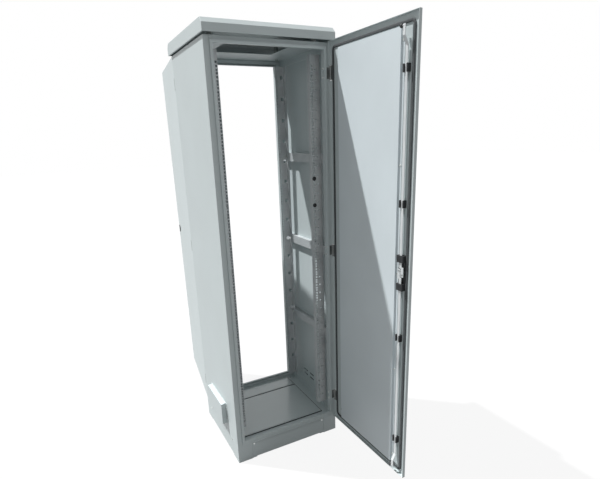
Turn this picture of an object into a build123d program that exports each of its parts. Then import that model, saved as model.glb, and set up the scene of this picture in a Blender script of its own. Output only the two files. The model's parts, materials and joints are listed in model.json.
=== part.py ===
from build123d import *
from dataclasses import dataclass
from math import cos, radians, sin, sqrt
import os

# Outdoor 19-inch equipment cabinet with a front and a rear door, both standing open.
# Millimetres. +X is to the right seen from the front, the front faces -Y, and +Z is up.
# The origin is the middle of the plinth's footprint, on the ground.

# Body of folded sheet
body_width = 600.0
body_depth = 540.0
body_height = 1956.0
sheet = 2.0
fold_radius = 3.0
seam_gap = 0.5
overrun = 5.0

# Doorways: a raised sealing lip round each opening
lip_side_inset = 26.0
lip_top_inset = 18.0
lip_bottom_inset = 18.0
lip_width = 12.0
lip_raise = 10.0
post_return = 30.0
end_return = 15.0

# Plinth of four corner pieces with covers between them
plinth_height = 100.0
plinth_sheet = 3.0
corner_leg = 80.0
corner_tab = 24.0
corner_lap = 12.0
corner_flange = 70.0
cover_ground_gap = 6.5
cover_top_gap = 0.5
cover_flange = 12.0
cover_screw_inset = 11.0
cover_screw_drop = 12.0
anchor_inset = 40.0
anchor_hole = 14.0
frame_bolt_hole = 13.0

# Roof canopy on four spacers
roof_side_overhang = 10.0
roof_end_overhang = 30.0
roof_gap = 6.0
roof_skirt = 33.0
roof_bevel = 22.0
roof_hem = 8.0
spacer_x = 250.0
spacer_y = 205.0
spacer_radius = 11.0
roof_bolt_radius = 6.0
roof_bolt_head = 10.0
roof_bolt_head_height = 7.0
roof_bolt_tail = 9.0
washer_radius = 14.0
washer_height = 2.5

# Ceiling and floor
ceiling_flange = 36.0
ceiling_vent_width = 320.0
ceiling_vent_depth = 200.0
ceiling_vent_y = -20.0
floor_upstand = 36.0
floor_plate_width = 480.0
floor_plate_front = -210.0
floor_plate_rear = 131.0
cable_plate_front = 141.0
cable_plate_rear = 238.0
plate_lap = 14.0
floor_seal_height = 3.0
floor_seal_reach = 4.0
floor_seal_width = 12.0
floor_screw_inset = 7.0

# Side vents behind rain hoods
vent_slot_length = 50.0
vent_slot_height = 9.0
vent_slot_pitch = 74.0
vent_row_pitch = 28.0
vent_columns = 3
vent_rows = 2
vent_height = 211.0
hood_length = 240.0
hood_reach = 27.0
hood_top = 284.0
hood_bottom = 162.0
hood_slope = 5.0
hood_flange = 14.0
hood_screw_rise = 60.0

# Nineteen-inch rails on depth bars
rack_unit = 44.45
unit_count = 40
rack_floor = 193.0
rack_hole_span = 465.1
rack_opening = 450.0
rack_hole_step = 15.875
rack_hole = 9.5
rail_bottom = 165.0
rail_top = 2015.0
rail_return = 30.0
front_rail_face = 210.0
rear_rail_face = 180.0
front_rail_hole = 9.0
front_rail_hole_inset = 24.0
rear_rail_hole = 21.0
rear_rail_hole_inset = 14.5
rear_rail_hole_units_share = 2.5
bar_heights = (600.0, 1070.0, 1540.0)
bar_height = 46.0
bar_reach = 22.0
rail_bolt_radius = 4.0
rail_bolt_head = 7.5
rail_bolt_head_height = 5.0
rail_bolt_tail = 4.0
bolt_clearance = 0.5

# Loose cup-washer screws left in the right front rail
cup_screw_units = (25, 28)
cup_outer_radius = 10.5
cup_height = 4.0
cup_screw_head = 6.0
cup_screw_head_height = 4.0
cup_screw_shank = 3.0
cup_screw_length = 14.0

# Small screws
screw_head = 4.5
screw_head_height = 2.4
screw_shank = 2.0
screw_clearance = 0.3
screw_grip = 3.0
screw_taper = 18.0

# Doors: shallow trays hung outside the doorway
pivot_inset = 8.0
pivot_reach = 14.0
door_gap = 3.0
door_thickness = 15.0
door_side_gap = 2.0
door_roof_gap = 2.0
door_bottom_rise = 2.0
door_fold = 2.5
front_door_opening = 91.0
rear_door_opening = 83.0

# Door seal
seal_width = 11.0
seal_clearance = 0.3
seal_round = 3.0

# Door stiffeners and inner lining
stiffener_height = 4.0
hinge_stiffener_start = 38.0
hinge_stiffener_width = 40.0
lock_stiffener_width = 50.0
stiffener_end_inset = 16.0
lining_sheet = 1.5
lining_start = 80.0
lining_end_inset = 92.0
lining_lift = 13.0
lining_end_gap = 6.0
lining_flange = 14.0
lining_screw_count = 5
lining_screw_end_inset = 45.0

# Hinges
hinge_middle = 1080.0
hinge_spread = 846.0
hinge_pin = 2.5
hinge_running_fit = 0.08
knuckle_radius = 5.0
frame_knuckle = 30.0
door_knuckle = 15.0
knuckle_gap = 0.5
hinge_arm = 5.0
hinge_base_thickness = 3.0
hinge_base_height = 50.0
hinge_base_clear = 2.0
hinge_leaf = 3.0
hinge_leaf_end = 17.5
hinge_notch_reach = 6.5
hinge_notch_clear = 1.5
hinge_screw_spread = 19.0

# Rod lock
lock_height = 1090.0
rod_edge_distance = 56.0
rod_width = 14.0
rod_thickness = 3.0
rod_lift = 14.0
rod_travel = 16.0
rod_fit = 0.4
guide_shares = (0.31, 0.85)
guide_width = 26.0
guide_length = 30.0
guide_rim = 6.0
upper_roller_drop = 11.0
lower_roller_rise = 11.0
roller_radius = 8.0
roller_width = 9.0
roller_bore_fit = 0.08
roller_side_gap = 1.0
roller_catch_gap = 0.5
roller_pin = 2.5
roller_pin_head = 4.5
roller_pin_head_height = 1.5
joggle_inset = 60.0
joggle_run = 28.0
rod_end = 5.0
lock_case_width = 36.0
lock_case_half_height = 76.0
lock_case_depth = 6.0
lock_block_start = 46.0
lock_block_cover = 5.0
cam_radius = 16.0
cam_thickness = 4.0
cam_gap = 1.0
cam_pin = 3.0
cam_pin_tail = 1.0
yoke_slack = 0.6
yoke_inner_edge = 2.0
yoke_outer_edge = 17.5
yoke_end = 8.0
yoke_neck = 26.0
yoke_lap = 6.0
barrel_radius = 13.0
barrel_rise = 5.0
barrel_key = 8.0
barrel_key_depth = 6.0
spindle_radius = 6.0
rosette_radius = 22.0
rosette_rise = 4.0
turning_fit = 0.08
seat_fit = 0.02

# Places worked out from the sizes above
half_width = body_width / 2
half_depth = body_depth / 2
body_top = plinth_height + body_height
lip_half = half_width - lip_side_inset
lip_bottom = plinth_height + lip_bottom_inset
lip_top = body_top - lip_top_inset
doorway_half = lip_half - lip_width
doorway_bottom = lip_bottom + lip_width
doorway_top = lip_top - lip_width
lip_face = half_depth + lip_raise
bar_face = half_width - sheet - bar_reach
rack_middle = rack_floor + rack_unit * unit_count / 2
rail_middle = (rail_bottom + rail_top) / 2
floor_level = plinth_height + sheet
plate_level = floor_level + floor_seal_height
roof_bottom = body_top + roof_gap
roof_top = roof_bottom + roof_skirt + roof_bevel
roof_half_width = half_width + roof_side_overhang
roof_half_depth = half_depth + roof_end_overhang
wall = half_width - sheet

os.makedirs("parts", exist_ok=True)


def keep(piece, name):
    """Label a finished piece and write it to its own file."""
    piece.label = name
    export_step(piece, f"parts/{name}.step")


def bounded(x0, y0, x1, y1, mode=Mode.ADD):
    """Draw a rectangle in the open sketch between two corners."""
    with Locations(((x0 + x1) / 2, (y0 + y1) / 2)):
        Rectangle(x1 - x0, y1 - y0, mode=mode)


def ordered(x0, y0, x1, y1):
    """Sort two corners so that the first is the lower left one."""
    return min(x0, x1), min(y0, y1), max(x0, x1), max(y0, y1)


def end_plane(facing, distance):
    """Upright plane across the cabinet; facing -1 looks out of the front and +1 out of the rear."""
    return Plane(origin=(0, facing * distance, 0), x_dir=(-facing, 0, 0), z_dir=(0, facing, 0))


def side_plane(side, distance):
    """Upright plane along the cabinet's side; side -1 is the left and +1 the right."""
    return Plane(origin=(side * distance, 0, 0), x_dir=(0, side, 0), z_dir=(side, 0, 0))


def screw_group(planes_and_points, grip):
    """Pan-head screws standing on each plane at its points, with shanks that reach back into the grip."""
    with BuildPart() as screws:
        for plane, points in planes_and_points:
            with BuildSketch(plane):
                with Locations(*points):
                    Circle(screw_head)
            extrude(amount=screw_head_height, taper=screw_taper)
            with BuildSketch(plane):
                with Locations(*points):
                    Circle(screw_shank)
            extrude(amount=-grip)
    return screws.part


# Plinth

cover_half_front = half_width - corner_leg - seam_gap
cover_half_side = half_depth - corner_leg - seam_gap
cover_screw_level = plinth_height - cover_screw_drop
cover_screw_front = cover_half_front - cover_screw_inset
cover_screw_side = cover_half_side - cover_screw_inset


def plinth_corner(along_x, along_y):
    """One corner piece: an L of sheet with tabs behind the covers and a flange at foot and head."""
    x_edge = along_x * half_width
    y_edge = along_y * half_depth
    x_back = x_edge - along_x * plinth_sheet
    y_back = y_edge - along_y * plinth_sheet
    x_seam = x_edge - along_x * corner_leg
    y_seam = y_edge - along_y * corner_leg
    with BuildPart() as corner:
        with BuildSketch():
            bounded(*ordered(x_seam, y_back, x_edge, y_edge))
            bounded(*ordered(x_back, y_seam, x_edge, y_edge))
            bounded(*ordered(x_seam - along_x * corner_tab, y_back - along_y * plinth_sheet,
                             x_seam + along_x * corner_lap, y_back))
            bounded(*ordered(x_back - along_x * plinth_sheet, y_seam - along_y * corner_tab,
                             x_back, y_seam + along_y * corner_lap))
        extrude(amount=plinth_height)
        for flange_level in (0, plinth_height - plinth_sheet):
            with BuildSketch(Plane.XY.offset(flange_level)):
                bounded(*ordered(x_edge - along_x * corner_flange, y_edge - along_y * corner_flange,
                                 x_edge, y_edge))
            extrude(amount=plinth_sheet)
        hole_place = (x_edge - along_x * anchor_inset, y_edge - along_y * anchor_inset)
        for hole, flange_level in ((anchor_hole, 0), (frame_bolt_hole, plinth_height - plinth_sheet)):
            with BuildSketch(Plane.XY.offset(flange_level)):
                with Locations(hole_place):
                    Circle(hole / 2)
            extrude(amount=plinth_sheet, mode=Mode.SUBTRACT)
        with BuildSketch(end_plane(along_y, half_depth)):
            with Locations((-along_y * along_x * cover_screw_front, cover_screw_level)):
                Circle(screw_shank + screw_clearance)
        extrude(amount=-corner_leg / 2, mode=Mode.SUBTRACT)
        with BuildSketch(side_plane(along_x, half_width)):
            with Locations((along_x * along_y * cover_screw_side, cover_screw_level)):
                Circle(screw_shank + screw_clearance)
        extrude(amount=-corner_leg / 2, mode=Mode.SUBTRACT)
    return corner.part


corner_pieces = [plinth_corner(along_x, along_y) for along_x in (-1, 1) for along_y in (-1, 1)]
keep(Compound(corner_pieces), "plinth_corners")


def plinth_cover(plane, half_length, screw_place):
    """One cover: a channel of sheet, flush with the corner pieces, with a screw hole near each end."""
    low = cover_ground_gap
    high = plinth_height - cover_top_gap
    with BuildPart() as cover:
        with BuildSketch(plane):
            bounded(-half_length, low, half_length, high)
            with Locations((-screw_place, cover_screw_level), (screw_place, cover_screw_level)):
                Circle(screw_shank + screw_clearance, mode=Mode.SUBTRACT)
        extrude(amount=-plinth_sheet)
        flange_half = half_length - corner_tab - seam_gap
        with BuildSketch(plane):
            bounded(-flange_half, low, flange_half, low + plinth_sheet)
            bounded(-flange_half, high - plinth_sheet, flange_half, high)
        extrude(amount=-cover_flange)
    return cover.part


for facing, end_name in ((-1, "front"), (1, "rear")):
    keep(plinth_cover(end_plane(facing, half_depth), cover_half_front, cover_screw_front),
         f"plinth_{end_name}_cover")
side_covers = [plinth_cover(side_plane(side, half_width), cover_half_side, cover_screw_side)
               for side in (-1, 1)]
keep(Compound(side_covers), "plinth_side_covers")

cover_screws = []
for facing in (-1, 1):
    front_points = [(-cover_screw_front, cover_screw_level), (cover_screw_front, cover_screw_level)]
    cover_screws.append((end_plane(facing, half_depth), front_points))
    side_points = [(-cover_screw_side, cover_screw_level), (cover_screw_side, cover_screw_level)]
    cover_screws.append((side_plane(facing, half_width), side_points))
keep(screw_group(cover_screws, 2 * plinth_sheet + screw_grip), "plinth_screws")

# Base and floor

plate_half = floor_plate_width / 2
floor_plates = {"floor_plate": (floor_plate_front, floor_plate_rear),
                "cable_plate": (cable_plate_front, cable_plate_rear)}


def plate_screw_points(y_front, y_rear):
    """Screw places near a floor plate's corners and the middles of its long edges."""
    x_place = plate_half - floor_screw_inset
    y_places = (y_front + floor_screw_inset, y_rear - floor_screw_inset)
    return [(x, y) for x in (-x_place, 0, x_place) for y in y_places]


with BuildPart() as base_frame:
    with BuildSketch(Plane.XY.offset(plinth_height)):
        bounded(-wall, sheet - half_depth, wall, half_depth - sheet)
        for y_front, y_rear in floor_plates.values():
            bounded(plate_lap - plate_half, y_front + plate_lap, plate_half - plate_lap, y_rear - plate_lap,
                    Mode.SUBTRACT)
            with Locations(*plate_screw_points(y_front, y_rear)):
                Circle(screw_shank + screw_clearance, mode=Mode.SUBTRACT)
        with GridLocations(body_width - 2 * anchor_inset, body_depth - 2 * anchor_inset, 2, 2):
            Circle(frame_bolt_hole / 2, mode=Mode.SUBTRACT)
    extrude(amount=sheet)
    for facing in (-1, 1):
        with BuildSketch(end_plane(facing, half_depth)):
            bounded(-lip_half, plinth_height, lip_half, lip_bottom - seam_gap)
        extrude(amount=-sheet)
        with BuildSketch(side_plane(facing, wall)):
            upstand_half = half_depth - 2 * sheet - seam_gap
            bounded(-upstand_half, plinth_height, upstand_half, plinth_height + floor_upstand)
        extrude(amount=-sheet)
keep(base_frame.part, "base_frame")

floor_seals = []
for plate_name, (y_front, y_rear) in floor_plates.items():
    screw_points = plate_screw_points(y_front, y_rear)
    with BuildPart() as plate:
        with BuildSketch(Plane.XY.offset(plate_level)):
            bounded(-plate_half, y_front, plate_half, y_rear)
            with Locations(*screw_points):
                Circle(screw_shank + screw_clearance, mode=Mode.SUBTRACT)
        extrude(amount=sheet)
    keep(plate.part, plate_name)
    with BuildPart() as plate_seal:
        with BuildSketch(Plane.XY.offset(floor_level)):
            seal_half = plate_half + floor_seal_reach
            seal_front = y_front - floor_seal_reach
            seal_rear = y_rear + floor_seal_reach
            bounded(-seal_half, seal_front, seal_half, seal_rear)
            bounded(floor_seal_width - seal_half, seal_front + floor_seal_width,
                    seal_half - floor_seal_width, seal_rear - floor_seal_width, Mode.SUBTRACT)
            with Locations(*screw_points):
                Circle(screw_shank + screw_clearance, mode=Mode.SUBTRACT)
        extrude(amount=floor_seal_height)
    floor_seals.append(plate_seal.part)
keep(Compound(floor_seals), "floor_seals")

floor_screw_plane = Plane.XY.offset(plate_level + sheet)
floor_screw_points = [point for ends in floor_plates.values() for point in plate_screw_points(*ends)]
keep(screw_group([(floor_screw_plane, floor_screw_points)], 2 * sheet + floor_seal_height), "floor_screws")

# Doorway frames: mounting flange, raised lip and a return round the opening

for facing, end_name in ((-1, "front"), (1, "rear")):
    with BuildPart() as frame:
        with BuildSketch(end_plane(facing, lip_face)):
            bounded(-lip_half, lip_bottom, lip_half, lip_top)
            bounded(-doorway_half, doorway_bottom, doorway_half, doorway_top, Mode.SUBTRACT)
        extrude(amount=-sheet)
        with BuildSketch(end_plane(facing, lip_face)):
            bounded(-lip_half, lip_bottom, lip_half, lip_top)
            bounded(sheet - lip_half, lip_bottom + sheet, lip_half - sheet, lip_top - sheet, Mode.SUBTRACT)
        extrude(amount=-(lip_raise + 2 * sheet))
        with BuildSketch(end_plane(facing, lip_face)):
            bounded(-doorway_half - sheet, doorway_bottom - sheet, doorway_half + sheet, doorway_top + sheet)
            bounded(-doorway_half, doorway_bottom, doorway_half, doorway_top, Mode.SUBTRACT)
        extrude(amount=-end_return)
        with BuildSketch(end_plane(facing, lip_face)):
            for edge in (-doorway_half - sheet, doorway_half):
                bounded(edge, doorway_bottom - sheet, edge + sheet, doorway_top + sheet)
        extrude(amount=-post_return)
        with BuildSketch(end_plane(facing, half_depth - sheet)):
            bounded(sheet - wall, plinth_height + 2 * sheet, wall - sheet, body_top - 2 * sheet)
            bounded(sheet - lip_half, lip_bottom + sheet, lip_half - sheet, lip_top - sheet, Mode.SUBTRACT)
        extrude(amount=-sheet)
    keep(frame.part, f"{end_name}_frame")

# Side panels with vent slots, and the rain hoods over them

panel_flange = lip_side_inset - seam_gap
hood_half = hood_length / 2
hood_screw_y = hood_half + hood_flange / 2
hood_screw_levels = (hood_bottom + hood_screw_rise / 2, hood_bottom + hood_screw_rise * 3 / 2)
hood_screw_points = [(y, z) for y in (-hood_screw_y, hood_screw_y) for z in hood_screw_levels]

for side, side_name in ((-1, "left"), (1, "right")):
    with BuildPart() as panel:
        with BuildSketch(Plane.XY.offset(plinth_height)) as panel_section:
            bounded(*ordered(side * (half_width - panel_flange), -half_depth, side * half_width, half_depth))
            outer_corners = panel_section.vertices().group_by(Axis.X)[-1 if side > 0 else 0]
            fillet(outer_corners, fold_radius)
            bounded(*ordered(side * (half_width - panel_flange - overrun), sheet - half_depth,
                             side * wall, half_depth - sheet), Mode.SUBTRACT)
        extrude(amount=body_height)
        with BuildSketch(side_plane(side, half_width)):
            with Locations((0, vent_height)):
                with GridLocations(vent_slot_pitch, vent_row_pitch, vent_columns, vent_rows):
                    SlotOverall(vent_slot_length, vent_slot_height)
            with Locations(*hood_screw_points):
                Circle(screw_shank + screw_clearance)
        extrude(amount=-sheet, mode=Mode.SUBTRACT)
    keep(panel.part, f"{side_name}_side_panel")

    with BuildPart() as hood:
        with BuildSketch(end_plane(-1, hood_half)):
            with BuildLine():
                Polyline((side * half_width, hood_bottom), (side * (half_width + hood_reach), hood_bottom),
                         (side * (half_width + hood_reach), hood_top - hood_slope),
                         (side * half_width, hood_top), close=True)
            make_face()
        extrude(amount=-hood_length)
        with BuildSketch(end_plane(-1, hood_half - sheet)):
            with BuildLine():
                Polyline((side * (half_width - overrun), hood_bottom - overrun),
                         (side * (half_width + hood_reach - sheet), hood_bottom - overrun),
                         (side * (half_width + hood_reach - sheet), hood_top - hood_slope - sheet),
                         (side * half_width, hood_top - sheet),
                         (side * (half_width - overrun), hood_top - sheet), close=True)
            make_face()
        extrude(amount=2 * sheet - hood_length, mode=Mode.SUBTRACT)
        with BuildSketch(side_plane(side, half_width)):
            for flange_start in (-hood_half - hood_flange, hood_half - sheet):
                bounded(flange_start, hood_bottom, flange_start + hood_flange + sheet, hood_top)
            with Locations(*hood_screw_points):
                Circle(screw_shank + screw_clearance, mode=Mode.SUBTRACT)
        extrude(amount=sheet)
    keep(hood.part, f"{side_name}_rain_hood")

# Small screws of the body: the hoods' and the hinges' fixings on the posts

hinge_levels = [hinge_middle + step * hinge_spread for step in (-1, 0, 1)]
hinge_screw_depth = lip_face - post_return / 2
body_screw_places = []
for side in (-1, 1):
    body_screw_places.append((side_plane(side, half_width + sheet), hood_screw_points))
    jamb = Plane(origin=(side * doorway_half, 0, 0), x_dir=(0, -side, 0), z_dir=(-side, 0, 0))
    jamb_points = [(hinge_screw_depth, level + step * hinge_screw_spread)
                   for level in hinge_levels for step in (-1, 1)]
    body_screw_places.append((jamb, jamb_points))
with BuildPart() as body_screws:
    for plane, points in body_screw_places:
        with BuildSketch(plane):
            with Locations(*points):
                Circle(screw_head)
        extrude(amount=screw_head_height, taper=screw_taper)
    for side in (-1, 1):
        with BuildSketch(side_plane(side, half_width + sheet)):
            with Locations(*hood_screw_points):
                Circle(screw_shank)
        extrude(amount=-(2 * sheet + screw_grip))
keep(body_screws.part, "body_screws")

# Depth bars between the two doorway frames, against the side panels

bar_half = half_depth - 2 * sheet
rail_web_middle = rail_return / 2
front_bolt_y = rail_web_middle - front_rail_face
rear_bolt_y = rear_rail_face - rail_web_middle
bolt_hole = rail_bolt_radius + bolt_clearance

for side, side_name in ((-1, "left"), (1, "right")):
    with BuildPart() as bars:
        with BuildSketch(end_plane(-1, bar_half)):
            for level in bar_heights:
                low = level - bar_height / 2
                high = level + bar_height / 2
                bounded(*ordered(side * bar_face, low, side * wall, high))
                bounded(*ordered(side * (bar_face + sheet), low + sheet,
                                 side * (wall + overrun), high - sheet), Mode.SUBTRACT)
        extrude(amount=-2 * bar_half)
        with BuildSketch(side_plane(side, bar_face)):
            with Locations(*[(side * y, z) for y in (front_bolt_y, rear_bolt_y) for z in bar_heights]):
                Circle(bolt_hole)
        extrude(amount=sheet, mode=Mode.SUBTRACT)
    keep(bars.part, f"{side_name}_depth_bars")

# Nineteen-inch rails: a flange with square holes and a return bolted to the depth bars.
# The front rails have a second return along their inner edge, and the rear rails' large
# round holes sit one unit above the middle of the rack.

rail_edge = rack_opening / 2
hole_line = rack_hole_span / 2
rail_faces = {-1: front_rail_face, 1: rear_rail_face}
return_starts = {-1: (bar_face - sheet, rail_edge), 1: (bar_face - sheet,)}
rear_hole_pitch = rack_unit * rear_rail_hole_units_share
rear_hole_count = int(unit_count / rear_rail_hole_units_share)
round_rows = {-1: (bar_face - front_rail_hole_inset, rack_middle, front_rail_hole, rack_unit, unit_count),
              1: (bar_face - rear_rail_hole_inset, rack_middle + rack_unit, rear_rail_hole, rear_hole_pitch,
                  rear_hole_count)}

for facing, end_name in ((-1, "front"), (1, "rear")):
    face_place = rail_faces[facing]
    round_line, round_middle, round_hole, round_pitch, round_count = round_rows[facing]
    for side, side_name in ((-1, "left"), (1, "right")):
        hand = -facing * side
        with BuildPart() as rail:
            with BuildSketch(end_plane(facing, face_place)):
                bounded(*ordered(hand * rail_edge, rail_bottom, hand * bar_face, rail_top))
                for step in (-1, 0, 1):
                    with Locations((hand * hole_line, rack_middle + step * rack_hole_step)):
                        with GridLocations(rack_unit, rack_unit, 1, unit_count):
                            Rectangle(rack_hole, rack_hole, mode=Mode.SUBTRACT)
                with Locations((hand * round_line, round_middle)):
                    with GridLocations(round_pitch, round_pitch, 1, round_count):
                        Circle(round_hole / 2, mode=Mode.SUBTRACT)
            extrude(amount=-sheet)
            with BuildSketch(end_plane(facing, face_place)):
                for start in return_starts[facing]:
                    bounded(*ordered(hand * start, rail_bottom, hand * (start + sheet), rail_top))
            extrude(amount=-rail_return)
            with BuildSketch(side_plane(side, bar_face)):
                bolt_y = front_bolt_y if facing < 0 else rear_bolt_y
                with Locations(*[(side * bolt_y, z) for z in bar_heights]):
                    Circle(bolt_hole)
            extrude(amount=-sheet, mode=Mode.SUBTRACT)
        keep(rail.part, f"{end_name}_{side_name}_rail")

with BuildPart() as rail_bolts:
    for side in (-1, 1):
        bolt_points = [(side * y, z) for y in (front_bolt_y, rear_bolt_y) for z in bar_heights]
        with BuildSketch(side_plane(side, bar_face - sheet)):
            with Locations(*bolt_points):
                RegularPolygon(rail_bolt_head, 6)
        extrude(amount=-rail_bolt_head_height)
        with BuildSketch(side_plane(side, bar_face - sheet)):
            with Locations(*bolt_points):
                Circle(rail_bolt_radius)
        extrude(amount=2 * sheet + rail_bolt_tail + rail_bolt_head_height)
        with BuildSketch(side_plane(side, bar_face + sheet)):
            with Locations(*bolt_points):
                RegularPolygon(rail_bolt_head, 6)
        extrude(amount=rail_bolt_head_height)
keep(rail_bolts.part, "rail_bolts")

cup_plane = end_plane(-1, front_rail_face)
cup_rise = rack_floor + rack_unit / 2 - rack_hole_step
cup_points = [(hole_line, cup_rise + unit * rack_unit) for unit in cup_screw_units]
with BuildPart() as cup_screws:
    with BuildSketch(cup_plane):
        with Locations(*cup_points):
            Circle(cup_outer_radius)
    extrude(amount=cup_height, taper=screw_taper)
    with BuildSketch(cup_plane.offset(cup_height)):
        with Locations(*cup_points):
            Circle(cup_screw_head)
    extrude(amount=cup_screw_head_height, taper=screw_taper)
    with BuildSketch(cup_plane):
        with Locations(*cup_points):
            Circle(cup_screw_shank)
    extrude(amount=-cup_screw_length)
keep(cup_screws.part, "cup_washer_screws")

# Ceiling plate and roof canopy

with BuildPart() as top_plate:
    with BuildSketch(Plane.XY.offset(body_top - sheet)):
        bounded(-wall, sheet - half_depth, wall, half_depth - sheet)
        with Locations((0, ceiling_vent_y)):
            Rectangle(ceiling_vent_width, ceiling_vent_depth, mode=Mode.SUBTRACT)
        with GridLocations(2 * spacer_x, 2 * spacer_y, 2, 2):
            Circle(roof_bolt_radius + bolt_clearance, mode=Mode.SUBTRACT)
    extrude(amount=sheet)
    for facing in (-1, 1):
        with BuildSketch(end_plane(facing, half_depth)):
            bounded(-lip_half, lip_top + seam_gap, lip_half, body_top)
        extrude(amount=-sheet)
        with BuildSketch(side_plane(facing, wall)):
            bounded(-upstand_half, body_top - ceiling_flange, upstand_half, body_top)
        extrude(amount=-sheet)
keep(top_plate.part, "top_plate")

with BuildPart() as roof_cover:
    with BuildSketch(Plane.XY.offset(roof_bottom)):
        Rectangle(2 * roof_half_width, 2 * roof_half_depth)
    extrude(amount=roof_top - roof_bottom)
    chamfer(roof_cover.faces().sort_by(Axis.Z)[-1].edges().filter_by(Axis.X), roof_bevel)
    offset(amount=-sheet, openings=roof_cover.faces().sort_by(Axis.Z)[0])
    with BuildSketch(Plane.XY.offset(roof_bottom)):
        Rectangle(2 * roof_half_width - sheet, 2 * roof_half_depth - sheet)
        Rectangle(2 * (roof_half_width - roof_hem), 2 * (roof_half_depth - roof_hem), mode=Mode.SUBTRACT)
    extrude(amount=sheet)
    with BuildSketch(Plane.XY.offset(roof_top)):
        with GridLocations(2 * spacer_x, 2 * spacer_y, 2, 2):
            Circle(roof_bolt_radius + bolt_clearance)
    extrude(amount=-sheet, mode=Mode.SUBTRACT)
keep(roof_cover.part, "roof_cover")

with BuildPart() as roof_spacers:
    with BuildSketch(Plane.XY.offset(body_top)):
        with GridLocations(2 * spacer_x, 2 * spacer_y, 2, 2):
            Circle(spacer_radius)
            Circle(roof_bolt_radius + bolt_clearance, mode=Mode.SUBTRACT)
    extrude(amount=roof_top - sheet - body_top)
keep(roof_spacers.part, "roof_spacers")

with BuildPart() as roof_bolts:
    with BuildSketch(Plane.XY.offset(roof_top)):
        with GridLocations(2 * spacer_x, 2 * spacer_y, 2, 2):
            Circle(washer_radius)
    extrude(amount=washer_height)
    with BuildSketch(Plane.XY.offset(roof_top + washer_height)):
        with GridLocations(2 * spacer_x, 2 * spacer_y, 2, 2):
            RegularPolygon(roof_bolt_head, 6)
    extrude(amount=roof_bolt_head_height)
    with BuildSketch(Plane.XY.offset(body_top - sheet)):
        with GridLocations(2 * spacer_x, 2 * spacer_y, 2, 2):
            Circle(roof_bolt_radius)
    extrude(amount=roof_top - body_top + sheet)
    with BuildSketch(Plane.XY.offset(body_top - sheet)):
        with GridLocations(2 * spacer_x, 2 * spacer_y, 2, 2):
            RegularPolygon(roof_bolt_head, 6)
    extrude(amount=-roof_bolt_tail)
keep(roof_bolts.part, "roof_bolts")

# Doors. Each is drawn from its hinge axis: u runs along the door to its free edge and
# w points out of the cabinet, both in the door's own plane of section.

pivot_x = half_width - pivot_inset
pivot_y = half_depth + pivot_reach
door_hinge_edge = door_side_gap - pivot_inset
door_free_edge = body_width - pivot_inset - door_side_gap
door_inner = door_gap - pivot_reach
door_outer = door_inner + door_thickness
door_skin = door_outer - sheet
door_bottom = plinth_height + door_bottom_rise
door_top = roof_bottom - door_roof_gap
lip_level = lip_raise - pivot_reach
seal_face = lip_level + seal_clearance
seal_hinge_line = pivot_x - doorway_half - lip_width / 2
seal_free_line = pivot_x + doorway_half + lip_width / 2
seal_bottom_line = lip_bottom + lip_width / 2
seal_top_line = lip_top - lip_width / 2
stiffener_face = door_skin - stiffener_height
stiffener_bottom = seal_bottom_line + stiffener_end_inset
stiffener_top = seal_top_line - stiffener_end_inset
rod_line = door_free_edge - rod_edge_distance
lock_stiffener_end = rod_line + stiffener_end_inset
lock_stiffener_start = lock_stiffener_end - lock_stiffener_width
lining_end = door_free_edge - lining_end_inset
lining_face = door_skin - lining_lift
lining_bottom = doorway_bottom + lining_end_gap
lining_top = doorway_top - lining_end_gap
rod_outer = door_skin - rod_lift + rod_thickness / 2
rod_inner = rod_outer - rod_thickness
roller_axis = half_depth + lip_raise - end_return - roller_catch_gap - roller_radius - pivot_y
upper_roller_level = doorway_top - upper_roller_drop
lower_roller_level = doorway_bottom + lower_roller_rise
cam_outer = door_skin - lock_case_depth - cam_gap
cam_inner = cam_outer - cam_thickness
cam_pin_circle = rod_travel / sqrt(2)
cam_pin_step = rod_travel / 2
yoke_slot_half = cam_pin + yoke_slack


@dataclass(frozen=True)
class DoorPlace:
    """Where a door hangs: its hinge axis, its closed direction and how far it stands open."""

    name: str
    side: int
    opening: float

    def direction(self):
        """Unit vector from the hinge axis to the free edge."""
        angle = radians((180 if self.side > 0 else 0) + self.opening)
        return Vector(cos(angle), sin(angle), 0)

    def outward(self):
        """Unit vector out of the door's outer face."""
        return Vector(0, 0, 1).cross(self.direction())

    def point(self, u, w, height):
        """Point of the door in the cabinet's frame."""
        axis = Vector(self.side * pivot_x, -self.side * pivot_y, height)
        return axis + self.direction() * u + self.outward() * w

    def section(self, height):
        """Level plane with u along its x and w along its y."""
        return Plane(origin=self.point(0, 0, height), x_dir=self.direction(), z_dir=(0, 0, 1))

    def face(self, w):
        """Upright plane in the door with u along its x and height along its y, extruded inwards."""
        return Plane(origin=self.point(0, w, 0), x_dir=self.direction(), z_dir=self.outward() * -1)

    def across(self, u):
        """Upright plane square to the door's width, with w along its x and height along its y."""
        return Plane(origin=self.point(u, 0, 0), x_dir=self.outward(), z_dir=self.direction())


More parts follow.
